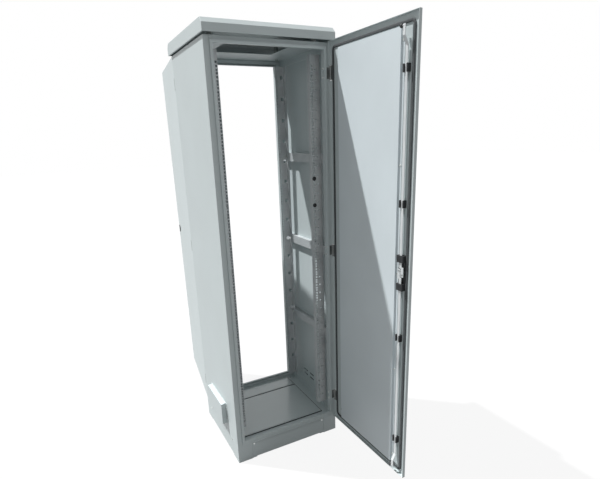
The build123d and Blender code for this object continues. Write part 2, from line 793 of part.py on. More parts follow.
def build_shell(place):
    """The door's tray with its welded stiffeners, hinge notches and the hole for the lock barrel."""
    with BuildPart() as shell:
        with BuildSketch(place.face(door_outer)):
            bounded(door_hinge_edge, door_bottom, door_free_edge, door_top)
        extrude(amount=door_thickness)
        outer_face = shell.faces().sort_by(Axis((0, 0, 0), place.outward()))[-1]
        fillet(outer_face.edges(), door_fold)
        with BuildSketch(place.face(door_skin)):
            bounded(door_hinge_edge + sheet, door_bottom + sheet, door_free_edge - sheet, door_top - sheet)
        extrude(amount=door_thickness, mode=Mode.SUBTRACT)
        hinge_stiffener_end = hinge_stiffener_start + hinge_stiffener_width
        lock_gap_bottom = lock_height - lock_case_half_height - seam_gap
        lock_gap_top = lock_height + lock_case_half_height + seam_gap
        runs = ((hinge_stiffener_start, hinge_stiffener_end, stiffener_bottom, stiffener_top),
                (lock_stiffener_start, lock_stiffener_end, stiffener_bottom, lock_gap_bottom),
                (lock_stiffener_start, lock_stiffener_end, lock_gap_top, stiffener_top))
        for start, end, low, high in runs:
            with BuildSketch(place.section(low)):
                bounded(start, stiffener_face, end, door_skin)
                bounded(start + sheet, stiffener_face + sheet, end - sheet, door_skin, Mode.SUBTRACT)
            extrude(amount=high - low)
        notch_half = frame_knuckle / 2 + door_knuckle + knuckle_gap + hinge_notch_clear
        for level in hinge_levels:
            with BuildSketch(place.section(level - notch_half)):
                bounded(door_hinge_edge - overrun, door_inner - overrun,
                        hinge_notch_reach, door_outer + overrun)
            extrude(amount=2 * notch_half, mode=Mode.SUBTRACT)
        with BuildSketch(place.face(door_outer)):
            with Locations((rod_line, lock_height)):
                Circle(barrel_radius + turning_fit)
        extrude(amount=sheet, mode=Mode.SUBTRACT)
        flange_holes = lining_screw_points()
        with BuildSketch(place.face(stiffener_face + sheet)):
            with Locations(*flange_holes):
                Circle(screw_shank + screw_clearance)
        extrude(amount=sheet, mode=Mode.SUBTRACT)
    keep(shell.part, f"{place.name}_door_shell")


def lining_screw_points():
    """Screw places on the lining's two side flanges, evenly spaced up the door."""
    pitch = (lining_top - lining_bottom - 2 * lining_screw_end_inset) / (lining_screw_count - 1)
    levels = [lining_bottom + lining_screw_end_inset + pitch * index for index in range(lining_screw_count)]
    lines = (lining_start - lining_flange / 2, lining_end + lining_flange / 2)
    return [(u, z) for u in lines for z in levels]


def build_seal(place):
    """Foam seal glued round the tray, just clear of the doorway's lip when the door is shut."""
    half = seal_width / 2
    with BuildPart() as seal:
        with BuildSketch(place.face(door_skin)):
            bounded(seal_hinge_line - half, seal_bottom_line - half,
                    seal_free_line + half, seal_top_line + half)
            bounded(seal_hinge_line + half, seal_bottom_line + half,
                    seal_free_line - half, seal_top_line - half, Mode.SUBTRACT)
        extrude(amount=door_skin - seal_face)
        inner_face = seal.faces().sort_by(Axis((0, 0, 0), place.outward()))[0]
        fillet(inner_face.edges(), seal_round)
    keep(seal.part, f"{place.name}_door_seal")


def build_lining(place):
    """Inner lining: a shallow folded tray with side flanges screwed to the stiffeners."""
    flange_start = lining_start - lining_flange
    flange_end = lining_end + lining_flange
    with BuildPart() as lining:
        with BuildSketch(place.face(stiffener_face)):
            bounded(flange_start, lining_bottom, flange_end, lining_top)
            bounded(lining_start + lining_sheet, lining_bottom + lining_sheet,
                    lining_end - lining_sheet, lining_top - lining_sheet, Mode.SUBTRACT)
            with Locations(*lining_screw_points()):
                Circle(screw_shank + screw_clearance, mode=Mode.SUBTRACT)
        extrude(amount=lining_sheet)
        with BuildSketch(place.face(stiffener_face)):
            bounded(lining_start, lining_bottom, lining_end, lining_top)
        extrude(amount=stiffener_face - lining_face)
        with BuildSketch(place.face(stiffener_face)):
            bounded(lining_start + lining_sheet, lining_bottom + lining_sheet,
                    lining_end - lining_sheet, lining_top - lining_sheet)
        extrude(amount=stiffener_face - lining_face - lining_sheet, mode=Mode.SUBTRACT)
    keep(lining.part, f"{place.name}_door_lining")
    screw_plane = Plane(origin=place.point(0, stiffener_face - lining_sheet, 0), x_dir=place.direction(),
                        z_dir=place.outward() * -1)
    screws = screw_group([(screw_plane, lining_screw_points())], lining_sheet + stiffener_height - seam_gap)
    keep(screws, f"{place.name}_lining_screws")


def build_hinges(place):
    """Three hinges: a bracket with its pin on the body, and a leaf with two knuckles in the door."""
    closed = DoorPlace(place.name, place.side, 0)
    leaf_half = frame_knuckle / 2 + knuckle_gap + door_knuckle
    with BuildPart() as brackets:
        for level in hinge_levels:
            with BuildSketch(closed.section(level - frame_knuckle / 2)):
                Circle(knuckle_radius)
                bounded(-hinge_arm / 2, -pivot_reach, hinge_arm / 2, 0)
            extrude(amount=frame_knuckle)
            with BuildSketch(closed.section(level - hinge_base_height / 2)):
                base_end = pivot_x - lip_half - hinge_base_clear
                bounded(door_hinge_edge, -pivot_reach, base_end, hinge_base_thickness - pivot_reach)
            extrude(amount=hinge_base_height)
            with BuildSketch(closed.section(level - leaf_half)):
                Circle(hinge_pin)
            extrude(amount=2 * leaf_half)
    keep(brackets.part, f"{place.name}_hinge_brackets")
    with BuildPart() as leaves:
        for level in hinge_levels:
            with BuildSketch(place.section(level - leaf_half)):
                bounded(hinge_notch_reach, door_skin - hinge_leaf, hinge_leaf_end, door_skin)
            extrude(amount=2 * leaf_half)
            for knuckle_bottom in (level - leaf_half, level + leaf_half - door_knuckle):
                with BuildSketch(place.section(knuckle_bottom)):
                    Circle(knuckle_radius)
                    bounded(0, door_skin - hinge_leaf, hinge_leaf_end, door_skin)
                    Circle(hinge_pin + hinge_running_fit, mode=Mode.SUBTRACT)
                extrude(amount=door_knuckle)
    keep(leaves.part, f"{place.name}_hinge_leaves")


def build_guides(place):
    """Nylon rod guides: a foot on the stiffener with a leg on each side of the rod."""
    slot_half = rod_width / 2 + rod_fit
    guide_levels = [lock_height + share * (roller_level - lock_height) for share in guide_shares
                    for roller_level in (lower_roller_level, upper_roller_level)]
    with BuildPart() as guides:
        for level in guide_levels:
            with BuildSketch(place.section(level - guide_length / 2)):
                bounded(rod_line - guide_width / 2, rod_inner - guide_rim,
                        rod_line + guide_width / 2, stiffener_face)
                bounded(rod_line - slot_half, rod_inner - guide_rim - overrun, rod_line + slot_half,
                        rod_outer + rod_fit, Mode.SUBTRACT)
            extrude(amount=guide_length)
    keep(guides.part, f"{place.name}_rod_guides")


def build_lock(place):
    """The lock: case with two rod blocks, cam with its drive pins, key barrel and outer rosette."""
    case_half = lock_case_width / 2
    case_face = door_skin - lock_case_depth
    block_top = rod_inner - lock_block_cover
    slot_half = rod_width / 2 + rod_fit
    with BuildPart() as case:
        with BuildSketch(place.face(door_skin)):
            bounded(rod_line - case_half, lock_height - lock_case_half_height,
                    rod_line + case_half, lock_height + lock_case_half_height)
            with Locations((rod_line, lock_height)):
                Circle(spindle_radius + turning_fit, mode=Mode.SUBTRACT)
        extrude(amount=lock_case_depth)
        block_length = lock_case_half_height - lock_block_start
        for block_bottom in (lock_height - lock_case_half_height, lock_height + lock_block_start):
            with BuildSketch(place.section(block_bottom)):
                bounded(rod_line - case_half, block_top, rod_line + case_half, case_face)
                bounded(rod_line - slot_half, rod_inner - rod_fit, rod_line + slot_half, rod_outer + rod_fit,
                        Mode.SUBTRACT)
            extrude(amount=block_length)
    keep(case.part, f"{place.name}_lock_case")

    with BuildPart() as cam:
        with BuildSketch(place.face(cam_outer)):
            with Locations((rod_line, lock_height)):
                Circle(cam_radius)
                Circle(spindle_radius + seat_fit, mode=Mode.SUBTRACT)
        extrude(amount=cam_thickness)
        with BuildSketch(place.face(cam_inner)):
            with Locations((rod_line + cam_pin_step, lock_height - cam_pin_step),
                           (rod_line - cam_pin_step, lock_height + cam_pin_step)):
                Circle(cam_pin)
        extrude(amount=cam_inner - rod_inner + cam_pin_tail)
    keep(cam.part, f"{place.name}_lock_cam")

    with BuildPart() as barrel:
        with BuildSketch(place.face(door_outer + barrel_rise)):
            with Locations((rod_line, lock_height)):
                Circle(barrel_radius)
        extrude(amount=barrel_rise + sheet)
        with BuildSketch(place.face(door_outer + barrel_rise)):
            with Locations((rod_line, lock_height)):
                Rectangle(barrel_key, barrel_key)
        extrude(amount=barrel_key_depth, mode=Mode.SUBTRACT)
        with BuildSketch(place.face(door_skin)):
            with Locations((rod_line, lock_height)):
                Circle(spindle_radius)
        extrude(amount=door_skin - cam_inner)
    keep(barrel.part, f"{place.name}_lock_barrel")

    with BuildPart() as rosette:
        with BuildSketch(place.face(door_outer + rosette_rise)):
            with Locations((rod_line, lock_height)):
                Circle(rosette_radius)
                Circle(barrel_radius + turning_fit, mode=Mode.SUBTRACT)
        extrude(amount=rosette_rise)
    keep(rosette.part, f"{place.name}_lock_rosette")


def build_rod(place, upward, roller_level):
    """A lock rod with its yoke on the cam, its joggled end, its roller pin and the roller."""
    end_name = "upper" if upward > 0 else "lower"
    start = lock_height + upward * (yoke_neck - yoke_lap)
    bend_start = roller_level - upward * joggle_inset
    bend_end = bend_start + upward * joggle_run
    tip = roller_level + upward * rod_end
    joggle = rod_inner + rod_thickness / 2 - roller_axis
    with BuildPart() as rod:
        with BuildSketch(place.across(rod_line - rod_width / 2)):
            with BuildLine():
                Polyline((rod_outer, start), (rod_outer, bend_start), (rod_outer - joggle, bend_end),
                         (rod_outer - joggle, tip), (rod_inner - joggle, tip), (rod_inner - joggle, bend_end),
                         (rod_inner, bend_start), (rod_inner, start), close=True)
            make_face()
        extrude(amount=rod_width)
        with BuildSketch(place.face(rod_outer)):
            yoke_low = lock_height - upward * (cam_pin_step + yoke_end)
            yoke_high = lock_height + upward * yoke_neck
            bounded(*ordered(rod_line + upward * yoke_inner_edge, yoke_low,
                             rod_line + upward * yoke_outer_edge, yoke_high))
            slot_middle = rod_line + upward * (cam_pin_step + cam_pin_circle) / 2
            slot_length = cam_pin_circle - cam_pin_step + 2 * yoke_slot_half
            with Locations((slot_middle, lock_height - upward * cam_pin_step)):
                Rectangle(slot_length, 2 * yoke_slot_half, mode=Mode.SUBTRACT)
        extrude(amount=rod_thickness)
        roller_start = rod_line - rod_width / 2 - roller_side_gap - roller_width
        pin_start = roller_start - roller_side_gap
        with BuildSketch(place.across(pin_start)):
            with Locations((roller_axis, roller_level)):
                Circle(roller_pin)
        extrude(amount=rod_line - pin_start)
        with BuildSketch(place.across(pin_start)):
            with Locations((roller_axis, roller_level)):
                Circle(roller_pin_head)
        extrude(amount=-roller_pin_head_height)
    keep(rod.part, f"{place.name}_{end_name}_rod")
    with BuildPart() as roller:
        with BuildSketch(place.across(roller_start)):
            with Locations((roller_axis, roller_level)):
                Circle(roller_radius)
                Circle(roller_pin + roller_bore_fit, mode=Mode.SUBTRACT)
        extrude(amount=roller_width)
    keep(roller.part, f"{place.name}_{end_name}_roller")


doors = (DoorPlace("front", 1, front_door_opening), DoorPlace("rear", -1, rear_door_opening))
for door in doors:
    build_shell(door)
    build_seal(door)
    build_lining(door)
    build_hinges(door)
    build_guides(door)
    build_lock(door)
    build_rod(door, 1, upper_roller_level)
    build_rod(door, -1, lower_roller_level)
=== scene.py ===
import json
import logging
from dataclasses import dataclass, field
from enum import Enum
from math import pi

import bmesh
import bpy
import numpy as np
from mathutils import Matrix


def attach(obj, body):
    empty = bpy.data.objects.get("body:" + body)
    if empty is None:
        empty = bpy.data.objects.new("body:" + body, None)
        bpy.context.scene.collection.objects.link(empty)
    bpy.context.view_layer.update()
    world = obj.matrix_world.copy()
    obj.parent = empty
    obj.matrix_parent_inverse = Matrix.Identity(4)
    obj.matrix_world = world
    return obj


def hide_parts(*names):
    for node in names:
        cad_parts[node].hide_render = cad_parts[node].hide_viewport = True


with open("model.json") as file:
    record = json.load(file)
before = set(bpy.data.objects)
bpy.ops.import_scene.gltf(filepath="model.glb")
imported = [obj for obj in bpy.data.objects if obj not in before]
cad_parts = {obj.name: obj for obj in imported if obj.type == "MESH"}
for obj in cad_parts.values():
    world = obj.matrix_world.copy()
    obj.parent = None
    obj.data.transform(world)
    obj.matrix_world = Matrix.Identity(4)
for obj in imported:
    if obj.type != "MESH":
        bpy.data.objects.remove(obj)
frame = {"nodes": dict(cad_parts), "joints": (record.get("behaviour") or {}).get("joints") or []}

# Outdoor equipment cabinet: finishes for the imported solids, and the small formed pieces that
# stand for plain solids. Metres, in the frame of the solids.

LOG = logging.getLogger("cabinet")
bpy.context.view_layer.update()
MM = 0.001
UP = np.array((0.0, 0.0, 1.0))
RIGHT = np.array((1.0, 0.0, 0.0))
AHEAD = np.array((0.0, 1.0, 0.0))
WHITE = (1.0, 1.0, 1.0, 1.0)

# Limits: the grain to which points are merged, the reach of a weld, the least height of a screw's
# step, the angle of a sharp edge, the weight of broad faces in the shading, the share past which
# a face looks back at the cabinet, and the share past which an axis counts as upright.

MERGE_GRAIN = 0.001 * MM
WELD_REACH = 0.002 * MM
LEAST_STEP = 0.1 * MM
SHARP_EDGE = pi / 5
BROAD_FACE_WEIGHT = 100
LOOKING_BACK = -0.5
NEARLY_UPRIGHT = 0.9

Colour = tuple[float, float, float]
Triple = tuple[float, float, float]
Span = tuple[float, float]


class Slot(Enum):
    """Material slots of the record, one for each finish of the formed pieces."""

    ZINC = "zinc_steel"
    NYLON = "black_nylon"
    FOAM = "foam_seal"


class Drive(Enum):
    """What is pressed into a screw's head."""

    CROSS = "cross"
    CUP_CROSS = "cup_cross"


def linear(red: float, green: float, blue: float) -> Colour:
    """Scene colour of a display colour.

    Each channel runs from 0 to 255, and the curve is the usual one: a straight toe, then the
    power 2.4 of the offset value.

    Args:
        red: Red channel.
        green: Green channel.
        blue: Blue channel.

    Returns:
        The three linear channels.
    """
    full, toe_end, toe_slope, offset, power = 255.0, 0.04045, 12.92, 0.055, 2.4
    share = np.array((red, green, blue)) / full
    curve = np.where(share <= toe_end, share / toe_slope, ((share + offset) / (1.0 + offset)) ** power)
    return tuple(float(channel) for channel in curve)


class Value:
    """A number that varies over a surface, written as a Python expression."""

    def __init__(self, graph: "Graph", socket: bpy.types.NodeSocket) -> None:
        """Wrap an output socket of a graph."""
        self.graph = graph
        self.socket = socket

    def math(self, operation: str, *terms: "Value | float") -> "Value":
        """Add one Math node.

        Args:
            operation: The node's operation.
            terms: Its operands, in order.

        Returns:
            The node's result.
        """
        inputs = dict(enumerate(terms))
        return self.graph.add("ShaderNodeMath", {"operation": operation}, inputs)

    def __add__(self, other: "Value | float") -> "Value":
        """Sum."""
        return self.math("ADD", self, other)

    def __radd__(self, other: float) -> "Value":
        """Sum with a number on the left."""
        return self.math("ADD", other, self)

    def __mul__(self, other: "Value | float") -> "Value":
        """Product."""
        return self.math("MULTIPLY", self, other)

    def __rmul__(self, other: float) -> "Value":
        """Product with a number on the left."""
        return self.math("MULTIPLY", other, self)

    def rise(self, low: float, high: float) -> "Value":
        """Smooth step.

        Args:
            low: Where the step leaves 0.
            high: Where the step reaches 1.

        Returns:
            The value eased between 0 and 1.
        """
        return self.graph.add("ShaderNodeMapRange", {"interpolation_type": "SMOOTHSTEP"},
                              {"Value": self, "From Min": low, "From Max": high})


class Graph:
    """The node tree of one material or of the world."""

    def __init__(self, owner: bpy.types.Material | bpy.types.World) -> None:
        """Clear the owner's tree and start from nothing.

        Args:
            owner: The material or world that holds the tree.
        """
        owner.use_nodes = True
        self.tree = owner.node_tree
        self.tree.nodes.clear()

    def node(self, kind: str, settings: dict | None = None, inputs: dict | None = None) -> bpy.types.Node:
        """Add one node.

        Args:
            kind: The node's type.
            settings: Properties that are set first.
            inputs: Values or links by socket name, identifier or place.

        Returns:
            The new node.
        """
        made = self.tree.nodes.new(kind)
        for name, value in (settings or {}).items():
            setattr(made, name, value)
        by_name = {socket.name: socket for socket in reversed(made.inputs)}
        by_name.update({socket.identifier: socket for socket in made.inputs})
        by_name.update(enumerate(made.inputs))
        for name, value in (inputs or {}).items():
            if isinstance(value, Value):
                self.tree.links.new(value.socket, by_name[name])
            else:
                by_name[name].default_value = value
        return made

    def add(self, kind: str, settings: dict | None = None, inputs: dict | None = None,
            output: str | int = 0) -> Value:
        """Add one node and take one of its outputs.

        Args:
            kind: The node's type.
            settings: Properties that are set first.
            inputs: Values or links by socket name, identifier or place.
            output: Identifier or place of the output.

        Returns:
            The chosen output.
        """
        outputs = self.node(kind, settings, inputs).outputs
        by_name = {socket.identifier: socket for socket in outputs}
        by_name.update(enumerate(outputs))
        return Value(self, by_name[output])

    def place(self, scale: Triple = (1.0, 1.0, 1.0)) -> Value:
        """Object coordinates, stretched by a scale on each axis."""
        coordinates = self.add("ShaderNodeTexCoord", output="Object")
        return self.add("ShaderNodeMapping", {}, {"Vector": coordinates, "Scale": scale})

    def noise(self, where: Value, scale: float, detail: float = 2.0) -> Value:
        """Cloudy noise from 0 to 1, with its scale in cells to the metre."""
        return self.add("ShaderNodeTexNoise", {}, {"Vector": where, "Scale": scale, "Detail": detail})

    def tint(self, mask: Value, first: Colour, second: Colour) -> Value:
        """Colour between two colours by a mask."""
        inputs = {"Factor_Float": mask, "A_Color": (*first, 1.0), "B_Color": (*second, 1.0)}
        return self.add("ShaderNodeMix", {"data_type": "RGBA"}, inputs, "Result_Color")

    def bump(self, height: Value, distance: float) -> Value:
        """Normal of a surface with fine relief, with its depth in metres."""
        return self.add("ShaderNodeBump", {}, {"Height": height, "Distance": distance, "Strength": 1.0})

    def surface(self, **inputs: "Value | float | Colour") -> None:
        """Close a material with one Principled shader.

        Args:
            inputs: Values or links by socket name, with underscores for spaces.
        """
        named = {name.replace("_", " "): value for name, value in inputs.items()}
        shader = self.add("ShaderNodeBsdfPrincipled", {}, named)
        self.node("ShaderNodeOutputMaterial", {}, {"Surface": shader})


def shade(colour: Colour, share: float) -> Colour:
    """Colour with each channel multiplied by a share."""
    return tuple(channel * share for channel in colour)


@dataclass(frozen=True)
class PowderCoat:
    """Powder coat on folded sheet: cloudy tone, satin gloss and an orange-peel skin."""

    name: str
    colour: Colour = linear(199, 209, 210)
    cloud_share: float = 0.94
    cloud_scale: float = 3.0
    cloud_detail: float = 4.0
    cloud_edges: Span = (0.3, 0.7)
    gloss_low: float = 0.36
    gloss_spread: float = 0.12
    peel_scale: float = 750.0
    peel_depth: float = 0.05 * MM
    fleck_scale: float = 2600.0
    fleck_share: float = 0.25
    coat: float = 0.0
    coat_gloss: float = 0.14

    def material(self) -> bpy.types.Material:
        """Make the material.

        The tone is a broad noise between the colour and a slightly darker one, with fine flecks
        of the powder; the relief is the sum of a fine noise and a share of a finer one.

        Returns:
            The finished material.
        """
        made = bpy.data.materials.new(self.name)
        graph = Graph(made)
        where = graph.place()
        cloud = graph.noise(where, self.cloud_scale, self.cloud_detail)
        peel = graph.noise(where, self.peel_scale)
        fleck = graph.noise(where, self.fleck_scale)
        mask = cloud.rise(*self.cloud_edges) * (1.0 - self.fleck_share) + fleck * self.fleck_share
        graph.surface(Base_Color=graph.tint(mask, shade(self.colour, self.cloud_share), self.colour),
                      Roughness=self.gloss_low + cloud * self.gloss_spread + fleck * self.gloss_spread,
                      Normal=graph.bump(peel + fleck * self.fleck_share, self.peel_depth),
                      Coat_Weight=self.coat, Coat_Roughness=self.coat_gloss)
        return made


@dataclass(frozen=True)
class GalvanisedSheet:
    """Hot-dipped sheet: grains of zinc, each with its own tone and gloss, and a dull bloom."""

    name: str
    dark: Colour = linear(178, 184, 186)
    bright: Colour = linear(206, 210, 211)
    spangle_scale: float = 110.0
    bloom_scale: float = 7.0
    bloom_detail: float = 4.0
    bloom_edges: Span = (0.35, 0.65)
    scratch_scale: float = 1800.0
    scratch_stretch: float = 0.02
    grain_share: float = 0.25
    scratch_share: float = 0.15
    metal: float = 0.2
    gloss_low: float = 0.4
    gloss_spread: float = 0.14
    relief: float = 0.015 * MM

    def material(self) -> bpy.types.Material:
        """Make the material.

        Cell noise gives each grain one tone, a broad noise adds the bloom, and a noise stretched
        along the height adds fine scratches; grain and bloom move the gloss.

        Returns:
            The finished material.
        """
        made = bpy.data.materials.new(self.name)
        graph = Graph(made)
        where = graph.place()
        cells = graph.add("ShaderNodeTexVoronoi", {"feature": "F1"},
                          {"Vector": where, "Scale": self.spangle_scale}, "Color")
        grain = graph.add("ShaderNodeSeparateColor", {}, {"Color": cells})
        bloom = graph.noise(where, self.bloom_scale, self.bloom_detail).rise(*self.bloom_edges)
        scratch = graph.noise(graph.place((1.0, 1.0, self.scratch_stretch)), self.scratch_scale)
        mask = (grain * self.grain_share + scratch * self.scratch_share
                + bloom * (1.0 - self.grain_share - self.scratch_share))
        graph.surface(Base_Color=graph.tint(mask, self.dark, self.bright), Metallic=self.metal,
                      Roughness=self.gloss_low + grain * self.gloss_spread + bloom * self.gloss_spread,
                      Normal=graph.bump(grain + scratch, self.relief))
        return made


@dataclass(frozen=True)
class ZincPlate:
    """Bright zinc plating with fine drawing lines along the height and a faint haze."""

    name: str
    dark: Colour = linear(196, 200, 198)
    bright: Colour = linear(224, 227, 224)
    haze_scale: float = 9.0
    haze_detail: float = 3.0
    haze_edges: Span = (0.3, 0.7)
    haze_share: float = 0.6
    line_scale: float = 2400.0
    line_stretch: float = 0.01
    metal: float = 0.9
    gloss_low: float = 0.2
    gloss_spread: float = 0.2
    relief: float = 0.02 * MM

    def material(self) -> bpy.types.Material:
        """Make the material.

        A noise stretched along the height gives the drawing lines, and a broad one the haze.

        Returns:
            The finished material.
        """
        made = bpy.data.materials.new(self.name)
        graph = Graph(made)
        haze = graph.noise(graph.place(), self.haze_scale, self.haze_detail).rise(*self.haze_edges)
        lines = graph.noise(graph.place((1.0, 1.0, self.line_stretch)), self.line_scale)
        mask = haze * self.haze_share + lines * (1.0 - self.haze_share)
        graph.surface(Base_Color=graph.tint(mask, self.dark, self.bright), Metallic=self.metal,
                      Roughness=self.gloss_low + haze * self.gloss_spread,
                      Normal=graph.bump(lines, self.relief))
        return made


@dataclass(frozen=True)
class MouldedBlack:
    """Black moulded or foamed stuff: a fine grain, a faint greyish bloom and a matt skin."""

    name: str
    colour: Colour = linear(30, 31, 33)
    bloom: Colour = linear(52, 54, 57)
    bloom_scale: float = 35.0
    bloom_detail: float = 4.0
    bloom_edges: Span = (0.3, 0.75)
    bloom_share: float = 0.7
    grain_scale: float = 1500.0
    grain_depth: float = 0.06 * MM
    gloss_low: float = 0.42
    gloss_spread: float = 0.16

    def material(self) -> bpy.types.Material:
        """Make the material.

        A broad noise moves the tone and the gloss, and a fine one gives the grain.

        Returns:
            The finished material.
        """
        made = bpy.data.materials.new(self.name)
        graph = Graph(made)
        where = graph.place()
        bloom = graph.noise(where, self.bloom_scale, self.bloom_detail).rise(*self.bloom_edges)
        grain = graph.noise(where, self.grain_scale)
        mask = bloom * self.bloom_share + grain * (1.0 - self.bloom_share)
        graph.surface(Base_Color=graph.tint(mask, self.colour, self.bloom),
                      Roughness=self.gloss_low + bloom * self.gloss_spread,
                      Normal=graph.bump(grain, self.grain_depth))
        return made


@dataclass
class Finishes:
    """One material for each finish, made once."""

    paint: bpy.types.Material = field(init=False)
    lightened_lining_paint: bpy.types.Material = field(init=False)
    floor_paint: bpy.types.Material = field(init=False)
    galvanised: bpy.types.Material = field(init=False)
    zinc: bpy.types.Material = field(init=False)
    rod_zinc: bpy.types.Material = field(init=False)
    shaded_hinge_zinc: bpy.types.Material = field(init=False)
    nylon: bpy.types.Material = field(init=False)
    foam: bpy.types.Material = field(init=False)

    def __post_init__(self) -> None:
        """Make the materials."""
        self.paint = PowderCoat("grey_powder_coat").material()
        # Painted light: the door's lining takes a lighter copy of the grey coat, which stands in for more
        # light on it.
        self.lightened_lining_paint = PowderCoat("lining_powder_coat", colour=linear(220, 230, 234)).material()
        self.floor_paint = PowderCoat("floor_powder_coat", gloss_low=0.26, gloss_spread=0.08,
                                      coat=0.5).material()
        self.galvanised = GalvanisedSheet("galvanised_sheet").material()
        self.zinc = ZincPlate("zinc_plating").material()
        self.rod_zinc = ZincPlate("passivated_zinc_plating", dark=linear(214, 219, 221),
                                  bright=linear(228, 232, 233), metal=0.25, gloss_low=0.42,
                                  gloss_spread=0.08).material()
        # Painted shade: the hinges take a dull zinc darkened to grey, which stands in for the shade over the
        # hinge strip.
        self.shaded_hinge_zinc = ZincPlate("dulled_zinc_plating", dark=linear(104, 108, 108),
                                    bright=linear(136, 140, 139), haze_scale=40.0,
                                    gloss_low=0.42).material()
        self.nylon = MouldedBlack("moulded_nylon").material()
        self.foam = MouldedBlack("foam_skin", colour=linear(62, 66, 68), bloom=linear(80, 84, 86),
                                 grain_scale=900.0, grain_depth=0.25 * MM, gloss_low=0.72).material()


def dress(node: str, material: bpy.types.Material) -> None:
    """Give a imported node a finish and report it.

    Args:
        node: The node's name.
        material: The finish that replaces the node's own.
    """
    mesh = frame["nodes"][node].data
    mesh.materials.clear()
    mesh.materials.append(material)
    LOG.info("dressed %s with %s", node, material.name)


def paint_shade_inside(node: str, material: bpy.types.Material, outward: np.ndarray) -> None:
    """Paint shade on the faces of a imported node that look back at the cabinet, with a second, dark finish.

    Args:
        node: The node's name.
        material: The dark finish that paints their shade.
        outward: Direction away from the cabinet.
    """
    mesh = frame["nodes"][node].data
    normals = np.empty(3 * len(mesh.polygons))
    mesh.polygons.foreach_get("normal", normals)
    # Painted shade: faces turned back towards the cabinet take the dark finish.
    back = normals.reshape(-1, 3) @ outward < LOOKING_BACK
    mesh.materials.append(material)
    mesh.polygons.foreach_set("material_index", back.astype(np.int32))
    LOG.info("lined %s with %s", node, material.name)


def soften(node: str, width: float, segments: int = 2) -> None:
    """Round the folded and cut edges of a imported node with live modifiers.

    The node's loose triangles are welded first, edges sharper than the limit are bevelled, and
    the broad faces then lead the shading.

    Args:
        node: The node's name.
        width: Width of the bevel.
        segments: Facets across it.
    """
    piece = frame["nodes"][node]
    weld = piece.modifiers.new("weld", "WELD")
    weld.merge_threshold = WELD_REACH
    bevel = piece.modifiers.new("edges", "BEVEL")
    bevel.width = width
    bevel.segments = segments
    bevel.limit_method = "ANGLE"
    bevel.angle_limit = SHARP_EDGE
    bevel.use_clamp_overlap = False
    even = piece.modifiers.new("even", "WEIGHTED_NORMAL")
    even.weight = BROAD_FACE_WEIGHT
    even.keep_sharp = True


def finish_sheets(nodes: tuple[str, ...], material: bpy.types.Material, edge: float, facets: int = 2) -> None:
    """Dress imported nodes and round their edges.

    Args:
        nodes: The nodes' names.
        material: Their finish.
        edge: Width of the rounding.
        facets: Facets across it.
    """
    for node in nodes:
        dress(node, material)
        soften(node, edge, facets)


def grid_faces(rows: int, columns: int, close_rows: bool, close_columns: bool) -> np.ndarray:
    """Quads of a grid of points stored row by row.

    Each quad joins a point to its right, upper right and upper neighbours; a closed direction
    wraps round to its first line.

    Args:
        rows: Lines of points.
        columns: Points in a line.
        close_rows: Whether the last line joins the first.
        close_columns: Whether the last point of a line joins its first.

    Returns:
        One row of four point numbers for each quad.
    """
    row = np.arange(rows if close_rows else rows - 1)[:, None]
    column = np.arange(columns if close_columns else columns - 1)[None, :]
    here, above = row * columns, (row + 1) % rows * columns
    beside = (column + 1) % columns
    corners = (here + column, here + beside, above + beside, above + column)
    return np.stack(corners, axis=-1).reshape(-1, 4)


def make_piece(name: str, points: np.ndarray, faces: np.ndarray, material: bpy.types.Material, slot: Slot,
               body: str, *nodes: str) -> bpy.types.Object:
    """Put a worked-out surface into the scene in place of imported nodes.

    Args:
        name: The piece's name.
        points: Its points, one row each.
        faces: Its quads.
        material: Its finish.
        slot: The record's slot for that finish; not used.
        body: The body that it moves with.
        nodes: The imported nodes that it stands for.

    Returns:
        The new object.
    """
    mesh = bpy.data.meshes.new(name)
    mesh.from_pydata(points.tolist(), [], faces.tolist())
    mesh.polygons.foreach_set("use_smooth", np.ones(len(faces), dtype=bool))
    mesh.materials.append(material)
    mesh.validate()
    piece = bpy.data.objects.new(name, mesh)
    bpy.context.scene.collection.objects.link(piece)
    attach(piece, body)
    if nodes:
        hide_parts(*nodes)
    LOG.info("built %s on %s: %d faces", name, body, len(faces))
    return piece


def node_points(node: str) -> tuple[np.ndarray, np.ndarray]:
    """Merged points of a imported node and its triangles.

    Args:
        node: The node's name.

    Returns:
        The points, one row each, and three point numbers for each triangle.
    """
    mesh = frame["nodes"][node].data
    flat = np.empty(3 * len(mesh.vertices))
    mesh.vertices.foreach_get("co", flat)
    corners = np.empty(3 * len(mesh.polygons), dtype=np.int64)
    mesh.polygons.foreach_get("vertices", corners)
    whole = np.round(flat.reshape(-1, 3) / MERGE_GRAIN).astype(np.int64)
    keys, place = np.unique(whole, axis=0, return_inverse=True)
    return keys * MERGE_GRAIN, place.reshape(-1)[corners].reshape(-1, 3)


def islands(node: str) -> list[np.ndarray]:
    """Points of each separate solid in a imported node.

    Every point takes the lowest number among the triangles that it touches, again and again,
    until nothing changes; points with one number are one solid.

    Args:
        node: The node's name.

    Returns:
        One array of points for each solid.
    """
    points, triangles = node_points(node)
    label = np.arange(len(points))
    settled = False
    while not settled:
        lower = label.copy()
        np.minimum.at(lower, triangles.ravel(), np.repeat(label[triangles].min(axis=1), 3))
        lower = lower[lower]
        settled = bool((lower == label).all())
        label = lower
    return [points[label == number] for number in np.unique(label)]


def across(axis: np.ndarray) -> tuple[np.ndarray, np.ndarray]:
    """Two unit vectors square to an axis and to each other.

    Args:
        axis: A unit vector.

    Returns:
        The two vectors, which form a right-handed set with the axis.
    """
    helper = UP if abs(axis @ UP) < NEARLY_UPRIGHT else RIGHT
    first = np.cross(helper, axis)
    first = first / np.linalg.norm(first)
    return first, np.cross(axis, first)


